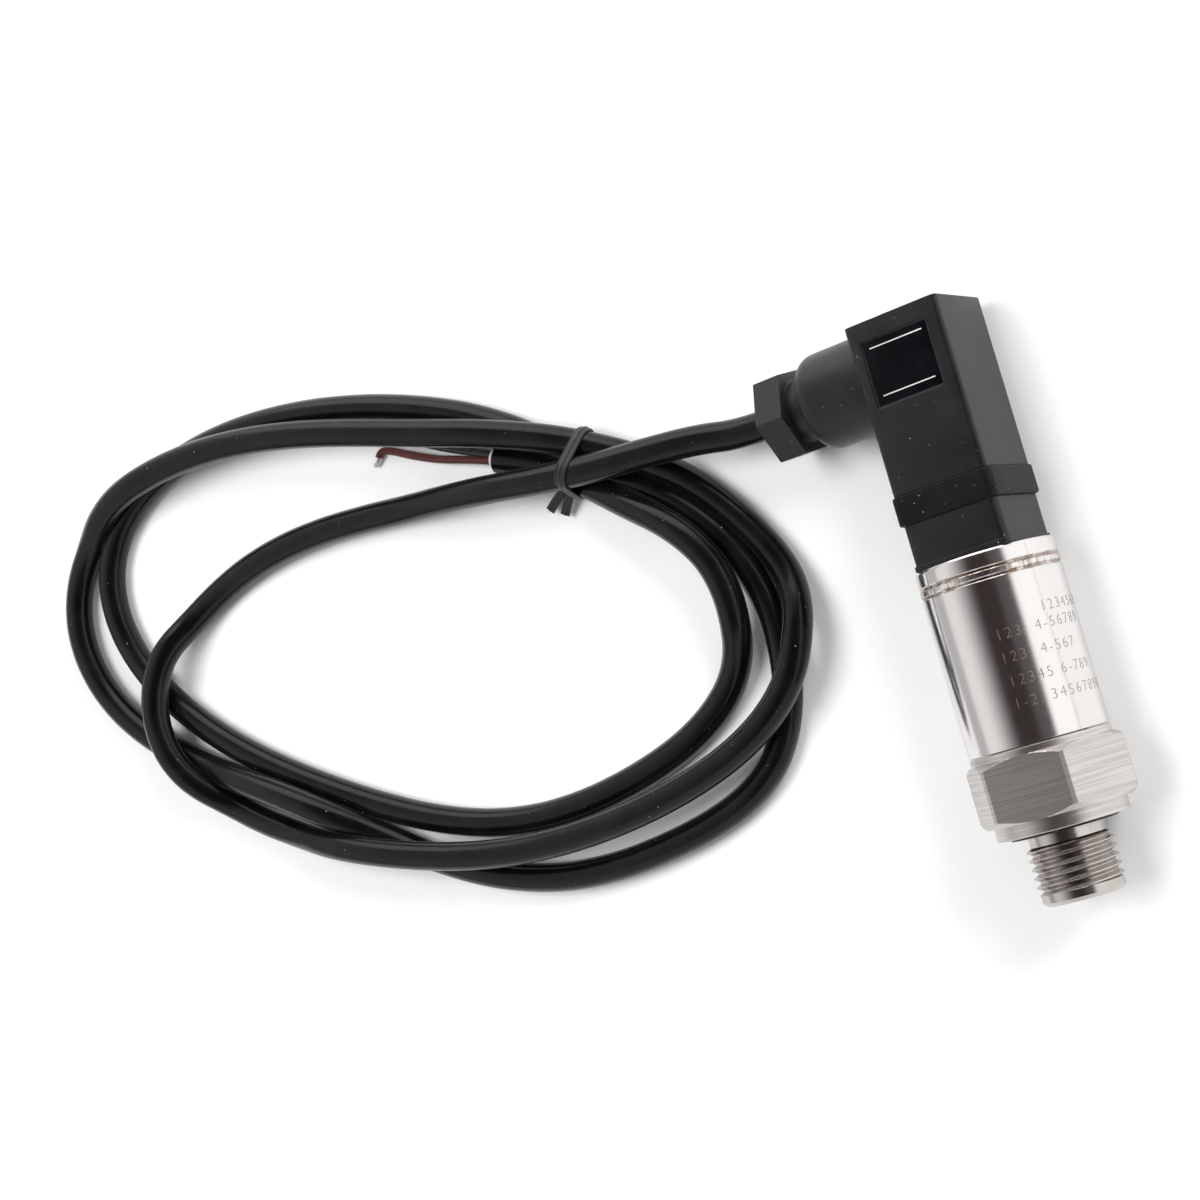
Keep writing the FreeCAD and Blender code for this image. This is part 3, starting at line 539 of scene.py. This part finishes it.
# %% Collar, hexagon and shoulder
HEX_FOOT = 2.1
CORNER_R, CHAMFER_R, CHAMFER = 12.5, 11.06, 0.9
FACET = 1.64
chamfer = [(CHAMFER_R + (CORNER_R - CHAMFER_R) * share, CHAMFER * share) for share in every(0, 1, 8)]
rows = [(5.9, 1.2), (8.45, 1.2), (8.45, 0.0), (10.0, 0.0), (10.1, 0.1), (10.1, HEX_FOOT)]
rows += [(radius, HEX_FOOT + rise) for radius, rise in chamfer]
rows += [(CORNER_R, height) for height in every(3.2, 10.6, 6)]
rows += [(radius, HEX_TOP - rise) for radius, rise in reversed(chamfer)]
rows += [(10.75, HEX_TOP), (10.75, 12.65), (10.6, 12.8), (5.9, 12.8)]
flats = hexagon(HEX_FLATS)


def milled(angle, height):
    """The flats, on the height of the hexagon alone."""
    return flats(angle, height) if HEX_FOOT - 0.05 < height < HEX_TOP + 0.05 else CORNER_R


turned = lathe(rows, milled, hexagon_angles(FACET), closed=True)
hexagon_piece = keep(turned, "port_hexagon", LYING, port_steel, "transmitter", "pressure_port")

# %% [markdown]
# ## Housing tube
#
# A drawn steel tube, crimped over the connector base by two rolled grooves near its rim. The
# grooves are part of the turned profile, because a bump would not bend the reflections enough.

# %% Housing tube
GROOVE_R = 10.58
RIM_R, RIM_FOOT = 8.3, 40.7
rows = [(9.6, TUBE_FOOT), (10.6, TUBE_FOOT), (10.75, 13.0), (TUBE_R, 13.15)]
for level in GROOVES:
    rows += [(TUBE_R, level - 0.32), (10.72, level - 0.2), (GROOVE_R, level - 0.06),
             (GROOVE_R, level + 0.06), (10.72, level + 0.2), (TUBE_R, level + 0.32)]
rows += [(TUBE_R, 41.3), (10.74, 41.6), (10.6, 41.8), (10.4, TUBE_TOP)]
rows += [(RIM_R, TUBE_TOP), (RIM_R, RIM_FOOT), (9.6, RIM_FOOT)]
drawn_tube = lathe(rows, closed=True)
tube = keep(drawn_tube, "housing_tube_skin", LYING, tube_steel, "transmitter", "housing_tube")

# %% [markdown]
# ## Engraved rows
#
# A laser has marked the tube with rows of figures. They could be a mask in the tube's finish, but
# text gives sharp edges at any size: each row is flat text, made a mesh and bent round
# the tube so that it stands a hundredth of a millimetre proud.

# %% Engraved rows
FIGURE_SIZE, PROUD = 2.3, 0.012
# Each row: its figures, its height on the tube, and the angle where it starts.
ENGRAVED = (("12345678", 31.0, 50), ("123: 4-56789", 28.5, 9), ("123: 4-567", 25.0, 8),
            ("12345 6-789", 21.5, 9), ("1-2: 34567890", 18.2, 8))
mesh = bmesh.new()
for words, level, start in ENGRAVED:
    text = bpy.data.curves.new("row", "FONT")
    text.body = words
    text.size = FIGURE_SIZE
    text.offset = -0.03
    text.space_character = 1.25
    text.resolution_u = 3
    helper = bpy.data.objects.new("row", text)
    bpy.context.scene.collection.objects.link(helper)
    bpy.context.view_layer.update()
    row = bpy.data.meshes.new_from_object(helper.evaluated_get(bpy.context.evaluated_depsgraph_get()))
    for vertex in row.vertices:
        angle = math.radians(start) + vertex.co.x / TUBE_R
        reach = TUBE_R + PROUD
        vertex.co = (reach * math.sin(angle), -reach * math.cos(angle), level + vertex.co.y)
    mesh.from_mesh(row)
    bpy.data.objects.remove(helper)
    bpy.data.curves.remove(text)
    bpy.data.meshes.remove(row)
figures = keep(mesh, "engraved_figures", LYING, mark_steel, "transmitter")


# %% [markdown]
# ## Base, gasket and plug
#
# The glass-filled base stands on the tube, the rubber gasket grips both edges, and the plug's
# housing is pressed down on it by the long screw under its roof. All are square blocks with
# rounded upright corners. Pockets are cut first and every edge is softened afterwards, so
# that the edges of the pockets catch the light as well.

# %% Blocks and pockets
# Flat sides stay flat: only the fine steps of the rounded corners are smoothed.
FLAT_SIDES = 15


def block(size, middle, corner=0.0):
    """An upright box with rounded corners seen from above."""
    mesh = bmesh.new()
    bmesh.ops.create_cube(mesh, size=1)
    bmesh.ops.scale(mesh, vec=size, verts=mesh.verts)
    if corner:
        upright = [edge for edge in mesh.edges if abs(edge.verts[0].co.z - edge.verts[1].co.z) > 1e-6]
        bmesh.ops.bevel(mesh, geom=upright, offset=corner, segments=6, profile=0.5,
                        affect="EDGES", material=-1)
    bmesh.ops.translate(mesh, vec=middle, verts=mesh.verts)
    return mesh


def machined(stock, edge, *cutters):
    """Stock with cutters taken away and its sharp edges softened, as a bmesh."""
    blank = loose(stock, "blank")
    tools = [loose(cutter, "tool") for cutter in cutters]
    for tool in tools:
        cut = blank.modifiers.new("cut", "BOOLEAN")
        cut.operation = "DIFFERENCE"
        cut.solver = "EXACT"
        cut.object = tool
    soft = blank.modifiers.new("soft", "BEVEL")
    soft.width = edge
    soft.segments = 3
    soft.limit_method = "ANGLE"
    soft.angle_limit = math.radians(40)
    bpy.context.view_layer.update()
    shaped = blank.evaluated_get(bpy.context.evaluated_depsgraph_get())
    mesh = bmesh.new()
    mesh.from_mesh(shaped.to_mesh())
    shaped.to_mesh_clear()
    for helper in [blank, *tools]:
        data = helper.data
        bpy.data.objects.remove(helper)
        bpy.data.meshes.remove(data)
    return mesh


def moulded(name, shape, finish, slot, *nodes, smooth=FLAT_SIDES):
    """A finished piece of the plug or its base, with flat sides."""
    piece = keep(shape, name, PLUG, finish, "transmitter", *nodes, smooth=smooth)


print("blocks ready")

# %% Base and gasket
base = block((15.8, 15.8, 7.2), (0, 0, 45.5), 1.3)
lip = block((16.3, 16.3, 0.9), (0, 0, 42.35), 1.4)
step = block((14.4, 14.4, 2.0), (0, 0, 50.0), 0.8)
band = block((16.9, 16.9, 4.5), (0, 0, 51.35), 1.5)
moulded("base_block", machined(base, 0.15), base_plastic, "base_plastic", "connector_base")
moulded("base_lip", machined(lip, 0.2), base_plastic, "base_plastic")
moulded("base_step", machined(step, 0.15), base_plastic, "base_plastic")
moulded("gasket_band", machined(band, 0.35), rubber, "seal_rubber", "profile_gasket")

# %% Plug housing
PLUG_TOP = 80.5
SCREW_RECESS, SCREW_RECESS_R = 2.4, 3.2
body = block((16.0, 16.0, 26.9), (0, 0, 67.05), 0.9)
label_seat = block((11.4, 0.9, 10.4), (-0.3, -8.0, 72.4))
screw_seat = lathe([(0, PLUG_TOP - SCREW_RECESS), (SCREW_RECESS_R, PLUG_TOP - SCREW_RECESS),
                    (SCREW_RECESS_R, PLUG_TOP + 1), (0, PLUG_TOP + 1)])
housing = machined(body, 0.3, label_seat, screw_seat)
moulded("plug_body", housing, plug_plastic, "plug_plastic", "plug_housing")
label = block((10.9, 0.3, 9.9), (-0.3, -7.45, 72.4))
moulded("label_plate", machined(label, 0.08), label_gloss, "plug_plastic")
for name, level in (("label_line_top", 76.25), ("label_line_low", 68.8)):
    stripe = block((9.05, 0.12, 0.2), (-0.22, -7.62, level))
    moulded(name, machined(stripe, 0.04), label_line, "plug_plastic", smooth=28)

# %% Plug barrel
BARREL_FOOT, BARREL_END = 7.0, 20.0
BARREL_R, BARREL_BORE_R = 7.7, 5.25
ROUND_WIDE, ROUND_LONG = 2.2, 2.7
rows = [(0, BARREL_FOOT), (BARREL_R, BARREL_FOOT), (BARREL_R, BARREL_END - ROUND_LONG)]
rows += [(BARREL_R - ROUND_WIDE * (1 - math.cos(angle)), BARREL_END - ROUND_LONG * (1 - math.sin(angle)))
         for angle in every(0.12, math.pi / 2, 12)]
rows += [(BARREL_BORE_R + 0.05, BARREL_END), (BARREL_BORE_R, BARREL_END - 0.1)]
rows += [(BARREL_BORE_R, BARREL_FOOT + 1), (0, BARREL_FOOT + 1)]
barrel = keep(lathe(rows), "plug_barrel", GLAND, plug_plastic, "transmitter")

# %% [markdown]
# ## Gland nut
#
# The nut draws the rubber bush in the barrel tight round the cable. It is turned and pulled in to
# six flats like the steel hexagon, and rides on its own body, which turns as it travels.

# %% Gland nut
NUT_FLATS, NUT_CORNER_R = 13.0, 7.5
HEAD_FOOT, HEAD_END = 22.5, 27.3
SLEEVE_R, NUT_BORE_R = 5.05, 2.65
NUT_TURN = Matrix.Rotation(math.radians(-8), 4, "Z")
rows = [(NUT_BORE_R, 12.0), (SLEEVE_R, 12.0), (SLEEVE_R, 22.4), (5.2, HEAD_FOOT), (7.4, HEAD_FOOT)]
rows += [(NUT_CORNER_R, height) for height in (22.6, 23.5, 26.2, 27.2)]
rows += [(7.4, HEAD_END), (2.9, HEAD_END), (NUT_BORE_R, 27.1)]
flats_of_nut = hexagon(NUT_FLATS)


def nut_flats(angle, height):
    """The flats, on the nut's head alone."""
    return flats_of_nut(angle, height) if height > HEAD_FOOT - 0.05 else NUT_CORNER_R


turned = lathe(rows, nut_flats, hexagon_angles(0.6), closed=True)
nut = keep(turned, "gland_nut_hexagon", GLAND @ NUT_TURN, nut_plastic, "gland_nut_body", "gland_nut",
           smooth=18)

# %% [markdown]
# ## Cut end and cores
#
# The cable is cut off square. A red and a dark core come out of a pale filler, and their ends
# are bent back under the coil. They are thin wires like the cable itself, and the filler is
# a small turned plug that closes the jacket's end.

# %% Cores
CORE, STRANDS = 1.4, 0.8
RED_LINE = [(-72.2, 48.4, 2.5), (-75.0, 49.6, 2.4), (-79, 51.1, 1.8), (-85, 53.1, 1.2), (-90, 55.4, 0.9),
            (-94.6, 58.0, 0.8), (-96.4, 58.4, 0.9), (-97.0, 57.4, 1.0)]
DARK_LINE = [(-72.2, 49.6, 2.5), (-75.2, 50.8, 2.4), (-79.6, 52.9, 1.6), (-84.5, 55.2, 0.9), (-89, 57.8, 0.8)]
BARE_LINE = [(-96.9, 57.7, 1.0), (-97.2, 56.6, 1.0), (-98.3, 56.3, 0.8)]
red = wire("red_core_wire", RED_LINE, CORE)
dark = wire("dark_core_wire", DARK_LINE, CORE)
bare = wire("bare_end", BARE_LINE, STRANDS)
for piece, finish in ((red, red_core), (dark, dark_core), (bare, plain_steel)):
    piece.data.materials.append(finish.material)
print("cores laid")

# %% Filler
end = Vector(TAIL[-1])
heading = (end - Vector(TAIL[-2])).normalized()
place = Matrix.Scale(MM, 4) @ Matrix.Translation(end) @ heading.to_track_quat("Z", "Y").to_matrix().to_4x4()
rows = [(0, -0.5), (2.1, -0.5), (2.1, 0.3), (1.7, 0.9), (0, 1.1)]
stub = lathe(rows, angles=every(0, FULL_TURN, 48)[:-1])
plug_of_filler = keep(stub, "filler_end", place, filler, "transmitter")

# %% [markdown]
# ## Twist tie
#
# A flat ribbed strip with a wire in it is drawn tight round the four strands, and its two ends
# stick out below. Drawn by hand it would cut into a strand or float over it, so its line is
# worked out: a plane is laid across the strands, and the strip follows the outline of the
# circles that they leave on it.

# %% Strands under the tie
TIE_AT = Vector((-57.2, 43.0, 0.0))
TIE_HEADING = math.radians(-29)
TIE_REACH = 14
forward = Vector((math.cos(TIE_HEADING), math.sin(TIE_HEADING), 0))
sideways = Vector((-forward.y, forward.x, 0))


def drawn(route):
    """The line that a curve of order three follows, as many close points."""
    middles = [route[0]] + [(a + b) / 2 for a, b in zip(route[1:-2], route[2:-1])] + [route[-1]]
    for start, corner, finish in zip(middles, route[1:-1], middles[1:]):
        for step in range(10):
            share = step / 10
            yield start * (1 - share) ** 2 + corner * 2 * share * (1 - share) + finish * share ** 2


strands = []
line_points = [point - TIE_AT for point in drawn([Vector(point) for point in route])]
for first, second in zip(line_points, line_points[1:]):
    crosses = first.dot(forward) * second.dot(forward) <= 0
    if crosses and first.xy.length < TIE_REACH:
        strands.append((first.dot(sideways), first.z))
print("strands in the tie", [[round(v, 1) for v in strand] for strand in strands])


# %% Outline of the strands
def outline(points):
    """The convex outline of flat points, anticlockwise."""
    points = sorted(set(points))
    halves = []
    for run in (points, points[::-1]):
        chain = []
        for point in run:
            while len(chain) > 1 and (
                (chain[-1][0] - chain[-2][0]) * (point[1] - chain[-2][1])
                - (chain[-1][1] - chain[-2][1]) * (point[0] - chain[-2][0])
            ) <= 0:
                chain.pop()
            chain.append(point)
        halves += chain[:-1]
    return halves


SNUG = CABLE / 2 + 0.05
# The strip is pressed flat where it passes between the strands and the table.
LOWEST = 0.6
circles = [(x + SNUG * math.cos(angle), z + SNUG * math.sin(angle))
           for x, z in strands for angle in every(0, FULL_TURN, 40)[:-1]]
ring = outline([(round(x, 4), round(max(z, LOWEST), 4)) for x, z in circles])
stations = []
for before, (x, z), after in zip(ring[-1:] + ring, ring, ring[1:] + ring[:1]):
    slope = Vector((after[0] - before[0], after[1] - before[1])).normalized()
    outward = sideways * slope.y - Vector((0, 0, slope.x))
    stations.append((TIE_AT + sideways * x + Vector((0, 0, z)), outward, forward))
print("tie drawn over", len(stations), "places")

# %% Twist tie
# The strip's section: across its width, then out from the cable, with a rib over the wire.
SECTION = [(-1.0, 0.0), (-1.0, 0.28), (-0.8, 0.42), (-0.55, 0.3), (-0.32, 0.32), (-0.2, 0.5), (0.0, 0.58),
           (0.2, 0.5), (0.32, 0.32), (0.55, 0.3), (0.8, 0.42), (1.0, 0.28), (1.0, 0.0)]
FRONT_END = [(-60.6, 39.4, 3.4), (-61.9, 38.5, 2.6), (-63.3, 37.2, 1.7), (-64.4, 35.9, 1.3)]
BACK_END = [(-61.4, 40.4, 3.2), (-63.2, 39.6, 2.6), (-65.4, 38.6, 1.7), (-67.1, 37.5, 1.3)]
IN_MM = Matrix.Scale(MM, 4)


def strip(stations, closed):
    """The ribbed section swept along (place, outward, along the width) stations."""
    mesh = bmesh.new()
    loops = []
    for place, outward, width in stations:
        ring = [mesh.verts.new(place + width * w + outward * t) for w, t in SECTION]
        loops.append([mesh.edges.new(pair) for pair in zip(ring, ring[1:] + ring[:1])])
    for first, second in zip(loops, loops[1:] + loops[:1] if closed else loops[1:]):
        bmesh.ops.bridge_loops(mesh, edges=first + second)
    if not closed:
        bmesh.ops.holes_fill(mesh, edges=loops[0] + loops[-1])
    return mesh


tie = keep(strip(stations, True), "tie_band", IN_MM, tie_plastic, "transmitter", "cable_tie", smooth=40)
lean = Vector((0.3, 0, 1)).normalized()
for name, points in (("tie_tail_front", FRONT_END), ("tie_tail_back", BACK_END)):
    run = list(drawn([Vector(point) for point in points]))
    stations = []
    for first, second in zip(run, run[1:]):
        ahead = (second - first).normalized()
        width = ahead.cross(lean).normalized() * 0.8
        stations.append((first, width.cross(ahead).normalized() * 0.9, width))
    keep(strip(stations, False), name, IN_MM, tie_plastic, "transmitter", smooth=40)

# %% [markdown]
# ## Cable on the transmitter
#
# The cable and its cores ride on the transmitter's body, and the construction cable and its cores are hidden.

for piece in (cable, red, dark, bare):
    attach(piece, "transmitter")
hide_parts("cable_lead", "cable_coil", "cable_tail")
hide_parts("red_core")
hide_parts("black_core")

# %% [markdown]
# ## Pieces that keep their construction shape
#
# The seal, the screws and what is inside the housing are right as they are. They could be made
# again with finer edges, but little or nothing of them shows, so they only get their finish.

# %% Finishes of the other pieces
FINISH_OF_SLOT = {
    "cell_steel": plain_steel, "seal_rubber": rubber, "board": board_green, "contact_metal": brass,
    "wire_red": red_core, "wire_black": dark_core, "base_plastic": base_plastic, "plug_plastic": plug_plastic,
    "cable_jacket": jacket, "tie_plastic": tie_plastic, "steel_port": port_steel, "steel_tube": tube_steel,
}
slot_of = {part["node"]: part["material_slot"] for part in frame["record"]["subparts"]}
for name, node in frame["nodes"].items():
    node.data.materials.clear()
    node.data.materials.append(FINISH_OF_SLOT[slot_of[name]].material)
print(len(frame["nodes"]), "construction pieces painted")

# %% [markdown]
# ## Table, cards and lights
#
# A pale table takes the shadow. Polished steel has no look of its own: it shows the room. So a
# half tunnel of paper stands over the part, pale or dark by its angle, and gives the steel its
# stripes, and a bright card behind gives the black pieces their edges. Lamps in those
# places would light the table too; the cards are seen by mirror-like surfaces alone.

# %% Table
paper = Finish("table_paper", roughness=0.9, specular_ior_level=0.0)
paper.wire(base_color=paper.mix(paper.noise(60).ramp(0.4, 0.6), grey(0.80), grey(0.81)))
mesh = bmesh.new()
bmesh.ops.create_circle(mesh, cap_ends=True, radius=3, segments=64)
table_piece = loose(mesh, "table")
table_piece.data.materials.append(paper.material)
print("table laid")

# %% Paper tunnel
DARK_PAPER, PALE_PAPER = (0.05, 0.037, 0.037, 1), (1.38, 1.38, 1.38, 1)
TUNNEL_R, TUNNEL_END = 0.6, math.radians(88)
tunnel = Finish("paper_tunnel", roughness=1.0, specular_ior_level=0.0, emission_strength=1.0)
from_top = tunnel.node("ShaderNodeMath", {"operation": "ARCTAN2"}, {0: tunnel.axis("X"), 1: tunnel.axis("Z")})
degrees = from_top * (180 / math.pi)
left_side = degrees.ramp(-5, -54) - degrees.ramp(-66, -72) * 0.42
right_side = degrees.ramp(19, 30) * 0.07 + degrees.ramp(44, 53) * 1.31
tunnel.wire(
    emission_color=tunnel.mix((left_side + right_side) * 0.725, DARK_PAPER, PALE_PAPER),
    base_color=tunnel.mix(tunnel.noise(3), grey(0.0), grey(0.001)),
)
mesh = bmesh.new()
foot = [mesh.verts.new((-TUNNEL_R * math.sin(TUNNEL_END), y, TUNNEL_R * math.cos(TUNNEL_END)))
        for y in (-0.6, 0.6)]
bmesh.ops.spin(mesh, geom=foot + [mesh.edges.new(foot)], cent=(0, 0, 0), axis=(0, 1, 0),
               angle=2 * TUNNEL_END, steps=88)
card = loose(mesh, "card")
card.data.materials.append(tunnel.material)
print("tunnel of", len(card.data.polygons), "strips")

# %% Card behind
glow = Finish("back_light", roughness=1.0, specular_ior_level=0.0, emission_strength=1.0)
glow.wire(emission_color=glow.mix(glow.axis("Z").ramp(0.0, 0.3), grey(0.7), grey(2.0)))
mesh = bmesh.new()
corners = ((-0.5, 0.75, 0.01), (0.5, 0.75, 0.01), (0.5, 0.75, 0.7), (-0.5, 0.75, 0.7))
mesh.faces.new([mesh.verts.new(corner) for corner in corners])
back_card = loose(mesh, "back_card")
back_card.data.materials.append(glow.material)
for piece in (card, back_card):
    for flag in ("camera", "diffuse", "transmission", "shadow", "volume_scatter"):
        setattr(piece, "visible_" + flag, False)
print("cards set")


# %% Lamps
def lamp(name, place, aim, size, power):
    """A soft round lamp that mirror-like surfaces don't show."""
    data = bpy.data.lights.new(name, "AREA")
    data.shape = "DISK"
    data.size = size
    data.energy = power
    made = bpy.data.objects.new(name, data)
    bpy.context.scene.collection.objects.link(made)
    made.location = place
    made.rotation_euler = (Vector(aim) - Vector(place)).to_track_quat("-Z", "Y").to_euler()
    made.visible_glossy = False


lamp("key", (0.55, 0.35, 0.45), (0, 0, 0), 0.4, 5)
lamp("top", (-0.25, 0.15, 0.75), (-0.08, 0, 0), 0.5, 5)
print("lamps set")

# %% World
# The room is white to the camera and in reflections, and half as bright as a light.
SEEN, AS_LIGHT = 1.0, 0.5
world = bpy.data.worlds.new("studio")
bpy.context.scene.world = world
world.use_nodes = True
tree = world.node_tree
rays = tree.nodes.new("ShaderNodeLightPath")
total = rays.outputs["Is Camera Ray"]
for ray in ("Is Glossy Ray", "Is Transmission Ray"):
    plus = tree.nodes.new("ShaderNodeMath")
    tree.links.new(total, plus.inputs[0])
    tree.links.new(rays.outputs[ray], plus.inputs[1])
    total = plus.outputs[0]
level = tree.nodes.new("ShaderNodeMapRange")
level.inputs["To Min"].default_value = AS_LIGHT
level.inputs["To Max"].default_value = SEEN
tree.links.new(total, level.inputs["Value"])
tree.links.new(level.outputs[0], tree.nodes["Background"].inputs["Strength"])
tree.nodes["Background"].inputs["Color"].default_value = (1, 1, 1, 1)
bpy.context.scene.view_settings.view_transform = "Standard"
print("lights set")
